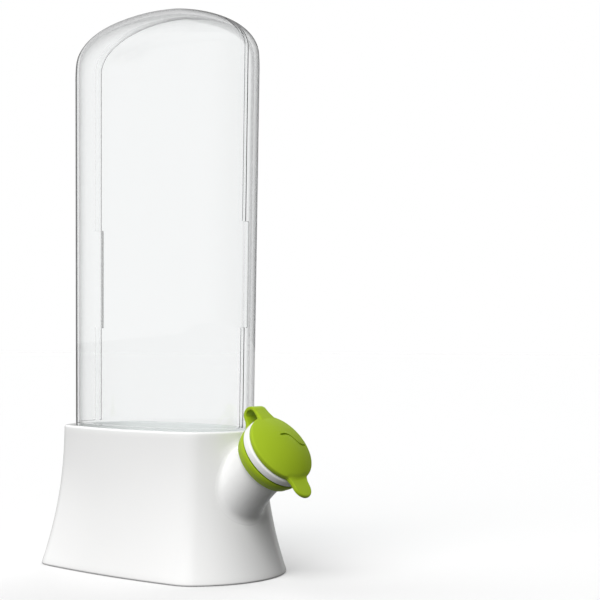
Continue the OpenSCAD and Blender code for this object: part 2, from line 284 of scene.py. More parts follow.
# %% [markdown]
# Three opaque finishes use the group. The base is polished ABS, nearly a mirror at a low angle. The
# basket is polypropylene with a satin face. The cap and its tether are silicone, which is soft and dull,
# so it gets a rough face, a coarser grain and less gloss. A separate shader for each would repeat the
# same nodes, so one helper builds them from a few numbers.

# %% Opaque materials


def moulded(name, color, deep, roughness, change, grain_scale, grain_height, sink_scale):
    """An opaque moulded material: two close colours, varied roughness and a fine bump."""
    material = bpy.data.materials.new(name)
    material.use_nodes = True
    tree = material.node_tree
    shader = tree.nodes["Principled BSDF"]
    surface = tree.nodes.new("ShaderNodeGroup")
    surface.node_tree = SURFACE
    surface.inputs["Grain Scale"].default_value = grain_scale
    surface.inputs["Sink Scale"].default_value = sink_scale
    surface.inputs["Roughness"].default_value = roughness
    surface.inputs["Roughness Change"].default_value = change
    tint = put(tree, "ShaderNodeMix", data_type="RGBA")
    tint.inputs["A"].default_value = (*deep, 1)
    tint.inputs["B"].default_value = (*color, 1)
    bump = put(tree, "ShaderNodeBump", Strength=1.0, Distance=grain_height)
    link = tree.links.new
    link(surface.outputs["Sink"], tint.inputs["Factor"])
    link(tint.outputs["Result"], shader.inputs["Base Color"])
    link(surface.outputs["Roughness"], shader.inputs["Roughness"])
    link(surface.outputs["Grain"], bump.inputs["Height"])
    link(bump.outputs["Normal"], shader.inputs["Normal"])
    return material


gloss_white = moulded("gloss_white", color=(0.86, 0.86, 0.855), deep=(0.83, 0.83, 0.825), roughness=0.17,
                      change=0.03, grain_scale=1400, grain_height=0.00001, sink_scale=25)
satin_white = moulded("satin_white", color=(0.84, 0.84, 0.83), deep=(0.8, 0.8, 0.79), roughness=0.38,
                      change=0.05, grain_scale=1800, grain_height=0.00003, sink_scale=40)
green_silicone = moulded("green_silicone", color=(0.35, 0.485, 0.02), deep=(0.31, 0.44, 0.016), roughness=0.5,
                         change=0.05, grain_scale=2600, grain_height=0.00004, sink_scale=60)
SILICONE_GLOSS = 0.25
green_shader = green_silicone.node_tree.nodes["Principled BSDF"]
green_shader.inputs["Specular IOR Level"].default_value = SILICONE_GLOSS
print("opaque", gloss_white.name, satin_white.name, green_silicone.name)

# %% [markdown]
# Clear plastic is a solid with two faces, so the pod is modelled with its real wall and the shader is a
# plain transmission. A clear pod is known by its grey edges, where light travels further through the wall
# and where it shows the darker room beside it. A uniform Volume Absorption gives the first. The white
# backdrop would hide the second, so Layer Weight paints that shade into the body colour, grey where the
# wall turns away. Light bent by the wall would be slow and noisy, so for shadow rays the pod is a faint plain
# filter.

# %% Clear plastic
CLEAR_IOR = 1.5
CLEAR_DENSITY = 26.0
CLEAR_BODY = (0.99, 0.995, 0.995, 1)
CLEAR_SHADOW = (0.93, 0.94, 0.94, 1)
CLEAR_MURK = (0.5, 0.53, 0.53, 1)
CLEAR_ROUGH, CLEAR_ROUGH_CHANGE, CLEAR_SINK_SCALE, CLEAR_SINK_DEPTH = 0.015, 0.01, 18, 0.00002
# Painted shade: the grey that stands in for the darker room seen in the pod's edges.
PAINTED_EDGE_SHADE = (0.26, 0.26, 1.02 * 0.26, 1)
EDGE_FROM, EDGE_TO = 0.42, 0.9


def clear_plastic(name):
    """Clear styrene: transmission, painted grey shade at the edges, absorption and thin shadows."""
    material = bpy.data.materials.new(name)
    material.use_nodes = True
    tree = material.node_tree
    shader = tree.nodes["Principled BSDF"]
    # Where the wall turns away, the body colour fades to the painted grey shade.
    slant = put(tree, "ShaderNodeLayerWeight", Blend=0.5)
    edge = put(tree, "ShaderNodeMapRange", interpolation_type="SMOOTHSTEP")
    edge.inputs["From Min"].default_value = EDGE_FROM
    edge.inputs["From Max"].default_value = EDGE_TO
    body = put(tree, "ShaderNodeMix", data_type="RGBA")
    body.inputs["A"].default_value = CLEAR_BODY
    body.inputs["B"].default_value = PAINTED_EDGE_SHADE
    link = tree.links.new
    link(slant.outputs["Facing"], edge.inputs["Value"])
    link(edge.outputs["Result"], body.inputs["Factor"])
    link(body.outputs["Result"], shader.inputs["Base Color"])
    shader.inputs["Transmission Weight"].default_value = 1.0
    shader.inputs["IOR"].default_value = CLEAR_IOR
    surface = tree.nodes.new("ShaderNodeGroup")
    surface.node_tree = SURFACE
    surface.inputs["Sink Scale"].default_value = CLEAR_SINK_SCALE
    surface.inputs["Roughness"].default_value = CLEAR_ROUGH
    surface.inputs["Roughness Change"].default_value = CLEAR_ROUGH_CHANGE
    bump = put(tree, "ShaderNodeBump", Strength=1.0, Distance=CLEAR_SINK_DEPTH)
    link(surface.outputs["Roughness"], shader.inputs["Roughness"])
    link(surface.outputs["Sink"], bump.inputs["Height"])
    link(bump.outputs["Normal"], shader.inputs["Normal"])
    path = put(tree, "ShaderNodeLightPath")
    through = put(tree, "ShaderNodeBsdfTransparent", Color=CLEAR_SHADOW)
    out = tree.nodes["Material Output"]
    link(mixed(tree, path.outputs["Is Shadow Ray"], shader, through), out.inputs["Surface"])
    murk = put(tree, "ShaderNodeVolumeAbsorption", Color=CLEAR_MURK, Density=CLEAR_DENSITY)
    link(murk.outputs[0], out.inputs["Volume"])
    return material


clear = clear_plastic("clear_plastic")
print("clear", clear.name, "density", CLEAR_DENSITY)

# %% [markdown]
# ## Outlines
#
# Base and pod share one kind of outline: a rectangle whose four sides bow outwards and whose corners
# are round. It could be drawn as a curve with handles, but arcs that touch each other follow from six
# numbers, and the same function then serves every height of the base and the pod.

# %% Outline of a bowed rectangle
END_STEPS, CORNER_STEPS, SIDE_STEPS = 16, 12, 16


def bow_radius(half, bow):
    """The radius of an arc that bows out by so much over half its chord."""
    return (half * half + bow * bow) / (2 * bow)


def quarter(a, b, end_bow, side_bow, r):
    """Points from the middle of the +X end to the middle of the +Y side."""
    cx, cy = a - r - end_bow, b - r - side_bow
    end_r, side_r = bow_radius(cy, end_bow), bow_radius(cx, side_bow)
    end_t, side_t = math.asin(cy / end_r), math.asin(cx / side_r)
    points = []
    for i in range(END_STEPS):
        t = end_t * i / END_STEPS
        points.append((a - r - end_r + (end_r + r) * math.cos(t), (end_r + r) * math.sin(t)))
    for i in range(CORNER_STEPS):
        t = end_t + (math.pi / 2 - end_t - side_t) * i / CORNER_STEPS
        points.append((cx + r * math.cos(t), cy + r * math.sin(t)))
    for i in range(SIDE_STEPS + 1):
        t = side_t * (1 - i / SIDE_STEPS)
        points.append(((side_r + r) * math.sin(t), b - r - side_r + (side_r + r) * math.cos(t)))
    return points


def around(q):
    """The whole outline, anticlockwise from +X."""
    n = len(q) - 1
    left = [(-q[i][0], q[i][1]) for i in range(n, 0, -1)]
    low = [(-q[i][0], -q[i][1]) for i in range(n)]
    right = [(q[i][0], -q[i][1]) for i in range(n, 0, -1)]
    return q[:n] + left + low + right


print("an outline has", 4 * (END_STEPS + CORNER_STEPS + SIDE_STEPS), "points")

# %% [markdown]
# The base flares towards its foot. Its outline at each height lies between the rim's and the foot's, and
# one power curve says how far. A lattice could flare a straight block, but the spout has to know where
# the end wall lies at any point, and a formula can be asked.

# %% Outline of the base
OVERALL_H, BASE_H = 275, 69
FOOT_LEN, FOOT_WID, FOOT_CORNER, FOOT_END_BOW, FOOT_SIDE_BOW = 133, 78, 15.5, 8.5, 2.4
RIM_LEN, RIM_WID, RIM_CORNER, RIM_END_BOW, RIM_SIDE_BOW = 109.4, 65.2, 12.4, 5, 5
FLARE_POWER = 2.16


def flare(z):
    """How much of the foot's size is left at a height: 1 at the foot, 0 at the rim."""
    return (1 - min(max(z / BASE_H, 0), 1)) ** FLARE_POWER


def base_size(z):
    """Half length, half width, end bow, side bow and corner radius of the base at a height."""
    rim = (RIM_LEN / 2, RIM_WID / 2, RIM_END_BOW, RIM_SIDE_BOW, RIM_CORNER)
    foot = (FOOT_LEN / 2, FOOT_WID / 2, FOOT_END_BOW, FOOT_SIDE_BOW, FOOT_CORNER)
    return [high + (low - high) * flare(z) for high, low in zip(rim, foot)]


def base_ring(z, inset):
    """The base's outline at a height, drawn in by inset, in millimetres."""
    a, b, end_bow, side_bow, r = base_size(z)
    return [(x, y, z) for x, y in around(quarter(a - inset, b - inset, end_bow, side_bow, r - inset))]


def end_wall_x(y, z):
    """Where the outer face of the base's +X end lies."""
    a, b, end_bow, side_bow, r = base_size(z)
    cx, cy = a - r - end_bow, b - r - side_bow
    end_r = bow_radius(cy, end_bow)
    if abs(y) * end_r <= (end_r + r) * cy:
        return a - r - end_r + math.sqrt((end_r + r) ** 2 - y * y)
    return cx + math.sqrt(r * r - (abs(y) - cy) ** 2)


print("end wall from", round(end_wall_x(0, 0), 2), "to", round(end_wall_x(0, BASE_H), 2), "mm")

# %% [markdown]
# ## Walls out of rings
#
# A moulded wall changes its outline slowly with height. Scaling a tube with a modifier would change its
# corner radii too. Here a circle primitive is moved onto the first outline, and each further level is an
# extrusion of that ring onto the next outline, so the walls are even quads that shade smoothly.

# %% Rings into walls
SAME_PLACE = 0.00001  # millimetres


def lay_ring(bm, points):
    """A first ring: a circle whose vertices are moved onto the points."""
    ring = bmesh.ops.create_circle(bm, segments=len(points), radius=1)["verts"]
    for vert, point in zip(ring, points):
        vert.co = point
    return ring


def grow_ring(bm, ring, points):
    """Extrude a ring and move its new vertices onto the points."""
    pairs = zip(ring, ring[1:] + ring[:1])
    made = bmesh.ops.extrude_edge_only(bm, edges=[bm.edges.get(pair) for pair in pairs])["geom"]
    fresh = {item for item in made if isinstance(item, bmesh.types.BMVert)}
    grown = [next(e.other_vert(v) for e in v.link_edges if e.other_vert(v) in fresh) for v in ring]
    for vert, point in zip(grown, points):
        vert.co = point
    return grown


def close_ring(bm, ring, point):
    """Close a ring with a fan around a pole."""
    face = bmesh.ops.contextual_create(bm, geom=ring)["faces"]
    pole = bmesh.ops.poke(bm, faces=face)["verts"][0]
    pole.co = point


def loft(rings, closed=False):
    """A skin over rings of points; a closed loft ends on the ring it starts from."""
    bm = bmesh.new()
    first = ring = lay_ring(bm, rings[0])
    for points in rings[1:] + rings[:closed]:
        ring = grow_ring(bm, ring, points)
    if closed:
        bmesh.ops.remove_doubles(bm, verts=bm.verts, dist=SAME_PLACE)
    return bm, first, ring


def stepped(low, high, count):
    """Even steps after low, up to and with high."""
    return [low + (high - low) * i / count for i in range(1, count + 1)]


print("a level has", len(base_ring(0, 0)), "vertices")

# %% [markdown]
# Every piece is handed over in the same way: from millimetres to metres, faces outwards, smooth with its
# sharp edges kept by their angle, then its material, its body and the CAD solids it stands for. An
# Edge Split modifier would keep the edges too, but it opens the mesh along them.

# %% Finishing a piece


def finish_piece(name, bm, body, slot, material, *nodes, sharp=40):
    """Turn a bmesh in millimetres into a piece of the object, which rides on a body where one is named."""
    bmesh.ops.scale(bm, vec=(MM, MM, MM), verts=bm.verts)
    bmesh.ops.recalc_face_normals(bm, faces=bm.faces)
    mesh = bpy.data.meshes.new(name)
    bm.to_mesh(mesh)
    bm.free()
    piece = bpy.data.objects.new(name, mesh)
    scene.collection.objects.link(piece)
    mesh.shade_smooth()
    mesh.set_sharp_from_angle(angle=math.radians(sharp))
    mesh.materials.append(material)
    if body:
        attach(piece, body)
    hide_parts(*nodes)
    print(name, len(mesh.polygons), "faces")
    return piece


print("pieces are scaled by", MM)

# %% [markdown]
# ## Base
#
# The base is one moulding: a flared outer wall, a rolled rim, a collar and a ledge that carry the pod, and
# an open inside down to the shoulder where the bottom plate is welded. It is made as one closed loop of
# rings that goes up the outside, over the rim and down the inside to the shoulder, because a Solidify
# modifier can't make the ledge. The spout's bore is cut through it once the spout's place is known.

# %% Base body
FOOT_ROUND, RIM_ROUND, BASE_WALL = 1.2, 1, 2.6
POD_WALL, RIM_WALL, POD_GAP, POD_ENGAGE, POD_CORNER, POD_SPREAD = 2.4, 3.1, 0.5, 12, 13.8, 1.05
LEDGE_T, LEDGE_W = 2.5, 2.2
FLOOR_T, FLOOR_SHOULDER = 2.5, 1.3
SEAT_Z = BASE_H - POD_ENGAGE
UNDER_LEDGE_Z = SEAT_Z - LEDGE_T
LEDGE_FOOT_Z = UNDER_LEDGE_Z - BASE_WALL
POD_A = RIM_LEN / 2 - RIM_WALL - POD_GAP
POD_B = RIM_WID / 2 - RIM_WALL - POD_GAP
WALL_STEPS, INSIDE_STEPS = 30, 12


def pod_ring(z, off, kx=1, ky=1):
    """The pod's outline at a height, drawn in by off and scaled along X and Y."""
    outline = around(quarter(POD_A - off, POD_B - off, RIM_END_BOW, RIM_SIDE_BOW, POD_CORNER - off))
    return [(x * kx, y * ky, z) for x, y in outline]


wall_high = BASE_H - RIM_ROUND
foot_turns = [math.radians(t) for t in range(0, 91, 18)]
rim_turns = [math.radians(t) for t in range(0, 91, 15)]
base_rings = [base_ring(FOOT_ROUND * (1 - math.cos(t)), FOOT_ROUND * (1 - math.sin(t))) for t in foot_turns]
base_rings += [base_ring(z, 0) for z in stepped(FOOT_ROUND, wall_high, WALL_STEPS)[:-1]]
base_rings += [base_ring(wall_high + RIM_ROUND * math.sin(t), RIM_ROUND * (1 - math.cos(t))) for t in rim_turns]
base_rings += [pod_ring(BASE_H, -POD_GAP - RIM_ROUND / 2), pod_ring(BASE_H - RIM_ROUND / 2, -POD_GAP),
               pod_ring(SEAT_Z, -POD_GAP), pod_ring(SEAT_Z, LEDGE_W), pod_ring(UNDER_LEDGE_Z, LEDGE_W)]
base_rings += [base_ring(z, BASE_WALL) for z in [LEDGE_FOOT_Z, *stepped(LEDGE_FOOT_Z, FLOOR_T, INSIDE_STEPS)]]
shoulder = base_ring(FLOOR_T, BASE_WALL - FLOOR_SHOULDER)
base_rings += [shoulder, [(x, y, 0) for x, y, z in shoulder]]
base_bm, _, _ = loft(base_rings, closed=True)
print("base wall", len(base_bm.faces), "faces")

# %% [markdown]
# ## Cuts
#
# The bore, the wave on the cap and the seam of the pod are cuts through curved walls. Their edges could
# be found by hand, line by line, but an exact Boolean finds them on any shape. Each cut is evaluated
# at once and its mesh kept, so the finished pieces carry no live modifier.

# %% Cutting one solid with others
FAR = 150  # beyond the object sideways, and twice this is above it


def solid_from(bm, name):
    """A plain mesh object from a bmesh, for cutting with."""
    mesh = bpy.data.meshes.new(name)
    bmesh.ops.recalc_face_normals(bm, faces=bm.faces)
    bm.to_mesh(mesh)
    bm.free()
    solid = bpy.data.objects.new(name, mesh)
    scene.collection.objects.link(solid)
    return solid


def carved(bm, cutters):
    """The bmesh less each cutter, by an exact Boolean."""
    body = solid_from(bm, "uncut")
    for i, cutter in enumerate(cutters):
        tool = solid_from(cutter, f"cutter_{i}")
        cut = body.modifiers.new("cut", "BOOLEAN")
        cut.operation, cut.solver, cut.object = "DIFFERENCE", "EXACT", tool
        mesh = bpy.data.meshes.new_from_object(body.evaluated_get(bpy.context.evaluated_depsgraph_get()))
        body.modifiers.clear()
        body.data = mesh
        bpy.data.objects.remove(tool)
    bm = bmesh.new()
    bm.from_mesh(body.data)
    bpy.data.objects.remove(body)
    return bm


def prism(outline, y_low, y_high):
    """A flat outline of (x, z) points, extruded along Y."""
    bm = bmesh.new()
    face = bm.faces.new([bm.verts.new((x, y_low, z)) for x, z in outline])
    made = bmesh.ops.extrude_face_region(bm, geom=[face])["geom"]
    moved = [item for item in made if isinstance(item, bmesh.types.BMVert)]
    bmesh.ops.translate(bm, vec=(0, y_high - y_low, 0), verts=moved)
    return bm


def box(low, high):
    """A block between two corners."""
    outline = [(low[0], low[2]), (high[0], low[2]), (high[0], high[2]), (low[0], high[2])]
    return prism(outline, low[1], high[1])


print("cutters reach", FAR, "mm out")

# %% [markdown]
# ## Spout
#
# The filling neck leaves the base's end wall at 37 degrees. It is round, so its pieces are drawn as
# profiles in a frame of their own, whose Z runs out along the neck and whose X points down to the pull
# tab, and one matrix puts each in its place.

# %% Spout frame
SPOUT_TILT = math.radians(37)
SPOUT_Z, SPOUT_REACH, CAP_GAP = 46, 25.5, 0.3
SPOUT_OUT = (RIM_LEN + (FOOT_LEN - RIM_LEN) * flare(SPOUT_Z)) / 2
spout_axes = Matrix(((math.sin(SPOUT_TILT), 0, -math.cos(SPOUT_TILT)), (0, 1, 0),
                     (math.cos(SPOUT_TILT), 0, math.sin(SPOUT_TILT)))).transposed().to_4x4()
SPOUT = Matrix.Translation((SPOUT_OUT, 0, SPOUT_Z)) @ spout_axes
CAP_SEAT = SPOUT @ Matrix.Translation((0, 0, SPOUT_REACH))
ROUND_STEPS = 160


def spout_point(radius, turn, z):
    """A point given by radius, angle and height in the spout's frame."""
    return SPOUT @ Vector((radius * math.cos(turn), radius * math.sin(turn), z))


for name, place in (("spout root", SPOUT), ("cap seat", CAP_SEAT)):
    print(name, [round(c, 2) for c in place.translation])

# %% [markdown]
# Two small tools serve the whole spout. One finds by halving where a line crosses a surface, and one
# rounds a corner with a smooth bend. A bevel could round an edge that is already there, but these
# profiles are drawn round from the start, so their steps stay even.

# %% Crossings and bends


def solve(rises, low, high):
    """Where a rising function is zero, by halving."""
    for _ in range(40):
        middle = (low + high) / 2
        low, high = (low, middle) if rises(middle) > 0 else (middle, high)
    return (low + high) / 2


def bend(start, corner, end, steps):
    """Points of a smooth bend that touches both legs of a corner."""
    start, corner, end = Vector(start), Vector(corner), Vector(end)
    parts = [i / steps for i in range(steps + 1)]
    return [start * (1 - t) ** 2 + corner * 2 * t * (1 - t) + end * t * t for t in parts]


print("a square corner bends through", bend((0, 0), (1, 0), (1, 1), 2)[1])

# %% [markdown]
# ### Neck
#
# The neck widens towards the wall and ends in a small fillet that runs round an oval on the flared
# wall. A Boolean union with a bevel would break the reflections there, so each of many lengthwise lines
# looks for its own meeting point with the wall and bends from one surface into the other.

# %% Neck
NECK_R, NECK_STRAIGHT, NECK_FLARE_R, BORE_R = 13.6, 16, 62, 11.4
MOUTH_CHAMFER, LIP_R, LIP_H, LIP_ROUND = 0.8, 17.6, 3.7, 1.2
RING_H, RING_R, RING_LOW_R, GROOVE_DEPTH, RING_EDGE = 6.5, 17.3, 16.1, 0.6, 0.5
MOUTH_Z = SPOUT_REACH - CAP_GAP
RING_TOP = MOUTH_Z - LIP_H
RING_LOW = RING_TOP - RING_H
WAIST_Z = SPOUT_REACH - NECK_STRAIGHT
GROOVE_R = NECK_R - GROOVE_DEPTH
FILLET, BEDDED = 2.2, 0.4
SEARCH_IN, SEARCH_OUT = -25, 20


def neck_radius(z):
    """The neck's radius at a height along its axis, wider below its waist."""
    drop = max(WAIST_Z - z, 0)
    return NECK_R + NECK_FLARE_R - math.sqrt(NECK_FLARE_R ** 2 - drop ** 2)


def outside_wall(point):
    """How far a point lies outside the base's end wall."""
    return point.x - end_wall_x(point.y, point.z)


def wall_z(radius, turn):
    """How far along the neck's axis a line beside it leaves the wall."""
    return solve(lambda z: outside_wall(spout_point(radius, turn, z)), SEARCH_IN, SEARCH_OUT)


def neck_line(turn):
    """One lengthwise line of the neck: out of the wall, along the flare, over the lip and down the bore."""
    meet_z = solve(lambda z: outside_wall(spout_point(neck_radius(z), turn, z)), SEARCH_IN, WAIST_Z)
    meet_r = neck_radius(meet_z)
    foot_r, top_z = meet_r + FILLET, meet_z + FILLET
    bedded_r = foot_r + BEDDED
    line = [spout_point(BORE_R, turn, wall_z(BORE_R, turn) - BEDDED),
            spout_point(bedded_r, turn, wall_z(bedded_r, turn) - BEDDED)]
    line += bend(spout_point(foot_r, turn, wall_z(foot_r, turn)), spout_point(meet_r, turn, meet_z),
                 spout_point(neck_radius(top_z), turn, top_z), 8)
    profile = [(neck_radius(z), z) for z in stepped(top_z, WAIST_Z, 12)]
    profile += [(NECK_R, RING_LOW), (GROOVE_R, RING_LOW), (GROOVE_R, RING_TOP)]
    profile += bend((LIP_R - RING_EDGE, RING_TOP), (LIP_R, RING_TOP), (LIP_R, RING_TOP + RING_EDGE), 4)
    profile += bend((LIP_R, MOUTH_Z - LIP_ROUND), (LIP_R, MOUTH_Z), (LIP_R - LIP_ROUND, MOUTH_Z), 6)
    profile += [(BORE_R + MOUTH_CHAMFER, MOUTH_Z), (BORE_R, MOUTH_Z - MOUTH_CHAMFER)]
    return line + [spout_point(radius, turn, z) for radius, z in profile]


neck_lines = [neck_line(math.tau * i / ROUND_STEPS) for i in range(ROUND_STEPS)]
neck_bm, _, _ = loft(list(zip(*neck_lines)), closed=True)
finish_piece("filling_neck", neck_bm, "base", "base_white", gloss_white, "spout_neck")

# %% [markdown]
# ### Bore
#
# Water poured into the neck runs through the end wall, so the base's wall is really open there. A short
# cylinder in the spout's frame does the cut. It is trimmed level with the ledge's foot, so that the cut
# leaves the ledge that carries the pod whole.

# %% Bore through the base's wall
BORE_DEPTH, BORE_CLEAR, BORE_STEPS = 14, 0.1, 96
cut_r = BORE_R + BORE_CLEAR
bore = bmesh.new()
bmesh.ops.create_cone(bore, cap_ends=True, segments=BORE_STEPS, radius1=cut_r, radius2=cut_r, depth=2 * BORE_DEPTH)
bmesh.ops.transform(bore, matrix=SPOUT, verts=bore.verts)
cut = bmesh.ops.bisect_plane(bore, geom=list(bore.verts) + list(bore.edges) + list(bore.faces),
                             plane_co=(0, 0, LEDGE_FOOT_Z), plane_no=(0, 0, 1), clear_outer=True)["geom_cut"]
bmesh.ops.contextual_create(bore, geom=[item for item in cut if isinstance(item, bmesh.types.BMEdge)])
finish_piece("base_body", carved(base_bm, [bore]), "base", "base_white", gloss_white, "base_shell", sharp=50)

# %% [markdown]
# ### Tether ring
#
# The cap's tether ends in a ring that snaps into the neck's groove. It is soft and round on every edge,
# and a narrow dark gap shows between it and the white lip. A half profile spun round the axis makes it,
# which is quicker than a torus with bevels and keeps the swell in the middle of its face.

# %% Ring of the cap's tether
RING_SHY, RING_BED = 0.9, 0.02
LOW_ROUND, LOW_LEAN, TOP_ROUND = 0.9, 0.2, 0.4
SWELL_IN, SWELL_HALF = 0.5, 1
ring_top, ring_mid, ring_in = RING_TOP - RING_SHY, RING_LOW + RING_H / 2, GROOVE_R + RING_BED


def revolve(profile):
    """Spin a closed profile of (radius, height) points about Z, and put it in the spout's frame."""
    bm = bmesh.new()
    verts = [bm.verts.new((point[0], 0, point[1])) for point in profile]
    edges = [bm.edges.new(pair) for pair in zip(verts, verts[1:])]
    bmesh.ops.spin(bm, geom=verts + edges, cent=(0, 0, 0), axis=(0, 0, 1), angle=math.tau, steps=ROUND_STEPS,
                   use_merge=True)
    bmesh.ops.remove_doubles(bm, verts=bm.verts, dist=SAME_PLACE)
    bmesh.ops.transform(bm, matrix=SPOUT, verts=bm.verts)
    return bm


ring_profile = [(ring_in, ring_top), (ring_in, RING_LOW)]
ring_profile += bend((RING_LOW_R - LOW_ROUND, RING_LOW), (RING_LOW_R, RING_LOW),
                     (RING_LOW_R + LOW_LEAN, RING_LOW + LOW_ROUND), 5)
ring_profile += bend((RING_R - SWELL_IN, ring_mid - SWELL_HALF), (RING_R, ring_mid),
                     (RING_R, ring_mid + SWELL_HALF), 4)
ring_profile += bend((RING_R, ring_top - TOP_ROUND), (RING_R, ring_top), (RING_R - TOP_ROUND, ring_top), 6)
ring_profile += [(ring_in, ring_top)]
finish_piece("tether_ring", revolve(ring_profile), "base", "cap_green", green_silicone, "anchor_ring")

# %% [markdown]
# ### Cap
#
# The cap is a dome with a pull tab that grows out of its edge. Its plan is a disc joined to a tapered
# tongue with round inner corners, found as a distance field, and the skin runs along lines from the
# plug to the top.

# %% Cap plan
CAP_R, CAP_TOP_R, CAP_EDGE_H, DOME_H, CAP_EDGE_ROUND = 17.4, 16.8, 2.6, 4, 0.4
PLUG_DEPTH, PLUG_WALL, PLUG_HOLLOW, PLUG_TAPER, PLUG_GAP = 4.5, 2.2, 1, 0.8, 0.4
PULL_LEN, PULL_T, TIP_R, ROOT_R, ROOT_X, ROOT_FILLET = 9.2, 2, 5, 5.9, 13, 3.4
PLUG_R = BORE_R - PLUG_GAP
TIP_X = CAP_R + PULL_LEN - TIP_R
PLAN_STEPS, PLAN_FINE = 264, 3000


def outside_plan(reach, turn):
    """How far a point lies outside the disc and the pull tab, rounded where they meet."""
    x, y = reach * math.cos(turn), reach * math.sin(turn)
    along = min(max((x - ROOT_X) / (TIP_X - ROOT_X), 0), 1)
    tab = math.hypot(x - ROOT_X - along * (TIP_X - ROOT_X), y) - ROOT_R - (TIP_R - ROOT_R) * along
    disc = reach - CAP_R
    near = max(ROOT_FILLET - abs(disc - tab), 0) / ROOT_FILLET
    return min(disc, tab) - near * near * ROOT_FILLET / 4


def plan_reach(turn):
    """How far the plan reaches at an angle."""
    return solve(lambda reach: outside_plan(reach, turn), CAP_R - 1, CAP_R + PULL_LEN + 1)


def even_turns():
    """Angles that step evenly along the plan's edge."""
    turns = [math.tau * i / PLAN_FINE for i in range(PLAN_FINE + 1)]
    edge = [Vector((plan_reach(t) * math.cos(t), plan_reach(t) * math.sin(t))) for t in turns]
    run = [0]
    for a, b in zip(edge, edge[1:]):
        run.append(run[-1] + (b - a).length)
    picked, k = [], 0
    for i in range(PLAN_STEPS):
        goal = run[-1] * i / PLAN_STEPS
        while run[k + 1] < goal:
            k += 1
        picked.append(turns[k] + (turns[k + 1] - turns[k]) * (goal - run[k]) / (run[k + 1] - run[k]))
    return picked


print("pull tab reaches", round(plan_reach(0), 2), "mm")

# %% [markdown]
# The cap's section starts inside the hollow plug and runs round its end, under the rim, up the side and
# over the dome. One line of it is drawn for each angle of the plan. On the disc it has the rim's edge,
# on the pull tab the tab's, and between them it eases from one to the other.

# %% Cap
cap_dome_r = bow_radius(CAP_TOP_R, DOME_H)
DOME_FROM, TAB_FULL = 15.8, 1.5
RIM_IN_R, RIM_OUT_Z, RIM_TOP_R, RIM_TOP_Z = 17.15, 1.5, 16.6, 2.42
RIM_LEAN, RIM_SWELL = 0.05, 0.02
TAB_UNDER, TAB_SIDE, TAB_OVER = 0.8, 1.1, 1  # roundings below, at the side and above
TAB_LEAST, TAB_FLAT_R, TAB_CREASE = 1.1, 18.2, (16.9, PULL_T + 0.1)
PLUG_POLE_R, PLUG_EDGE = 3, 0.4


def dome_z(radius):
    """The height of the cap's dome at a distance from its middle."""
    return CAP_EDGE_H + DOME_H - cap_dome_r + math.sqrt(cap_dome_r ** 2 - radius ** 2)


def cap_line(turn):
    """One line of the cap from its plug to near the top."""
    reach = plan_reach(turn)
    part = min(max((reach - CAP_R) / TAB_FULL, 0), 1)
    part = part * part * (3 - 2 * part)
    plain = bend((RIM_IN_R - CAP_EDGE_ROUND, 0), (RIM_IN_R, 0), (RIM_IN_R + RIM_LEAN, CAP_EDGE_ROUND), 4)
    plain += bend((CAP_R, RIM_OUT_Z), (CAP_R + RIM_SWELL, RIM_TOP_Z), (RIM_TOP_R, dome_z(RIM_TOP_R)), 12)
    plain += [Vector((r, dome_z(r))) for r in stepped(RIM_TOP_R, DOME_FROM, 4)]
    tab_end = min(TAB_FLAT_R, reach - TAB_LEAST)
    tab = bend((reach - TAB_UNDER, 0), (reach, 0), (reach, TAB_UNDER), 4)
    tab += bend((reach, TAB_SIDE), (reach, PULL_T), (reach - TAB_OVER, PULL_T), 5)
    tab += [Vector((r, PULL_T)) for r in stepped(reach - TAB_OVER, tab_end, 3)[:-1]]
    tab += bend((tab_end, PULL_T), TAB_CREASE, (DOME_FROM, dome_z(DOME_FROM)), 8)
    plug_end_r = PLUG_R - PLUG_TAPER
    line = [(PLUG_POLE_R, PLUG_HOLLOW), (PLUG_R - PLUG_WALL, PLUG_HOLLOW), (plug_end_r - PLUG_WALL, -PLUG_DEPTH),
            (plug_end_r - PLUG_EDGE, -PLUG_DEPTH), (plug_end_r, -PLUG_DEPTH + PLUG_EDGE), (PLUG_R, 0)]
    line += [a.lerp(b, part) for a, b in zip(plain, tab)]
    line += [(r, dome_z(r)) for r in stepped(DOME_FROM, 0, 16)[:-1]]
    return [Vector((r * math.cos(turn), r * math.sin(turn), z)) for r, z in line]


cap_bm, plug_ring, top_ring = loft(list(zip(*[cap_line(turn) for turn in even_turns()])))
close_ring(cap_bm, plug_ring, (0, 0, PLUG_HOLLOW))
close_ring(cap_bm, top_ring, (0, 0, dome_z(0)))
print("cap skin", len(cap_bm.faces), "faces")

# %% [markdown]
# ### Sweeps
#
# The wave on the cap and the hinge loop are a rounded section that follows a path. A curve with a bevel
# profile would follow it too, but can't change the section's width and thickness apart, so each section
# is set square to the path and the loft joins them.

# %% Rounded section and sweep


def section(width, thick, corner, steps=4):
    """A rectangle with round corners, as (side, up) offsets."""
    points = []
    for quadrant, (sx, sy) in enumerate(((1, 1), (-1, 1), (-1, -1), (1, -1))):
        for i in range(steps + 1):
            t = math.radians(90 * (quadrant + i / steps))
            points.append((sx * (width / 2 - corner) + corner * math.cos(t),
                           sy * (thick / 2 - corner) + corner * math.sin(t)))
    return points


def sweep(path, sides, sections):
    """A solid whose sections follow a path; each section stands square to it."""
    rings = []
    for i, (place, side, shape) in enumerate(zip(path, sides, sections)):
        ahead = (path[min(i + 1, len(path) - 1)] - path[max(i - 1, 0)]).normalized()
        up = ahead.cross(side).normalized()
        across = up.cross(ahead)
        rings.append([place + across * s + up * t for s, t in shape])
    bm, first, last = loft(rings)
    for end in (first, last):
        bmesh.ops.contextual_create(bm, geom=end)
    return bm


print("a section has", len(section(1, 1, 0)), "points")

# %% [markdown]
# ### Wave on the cap
#
# A shallow groove in the shape of a wave shows that water goes in here. A bump from a texture would not
# cast the small shadow that makes the line dark, so a rounded section is swept along a sine that lies on
# the dome, and is cut out of it.

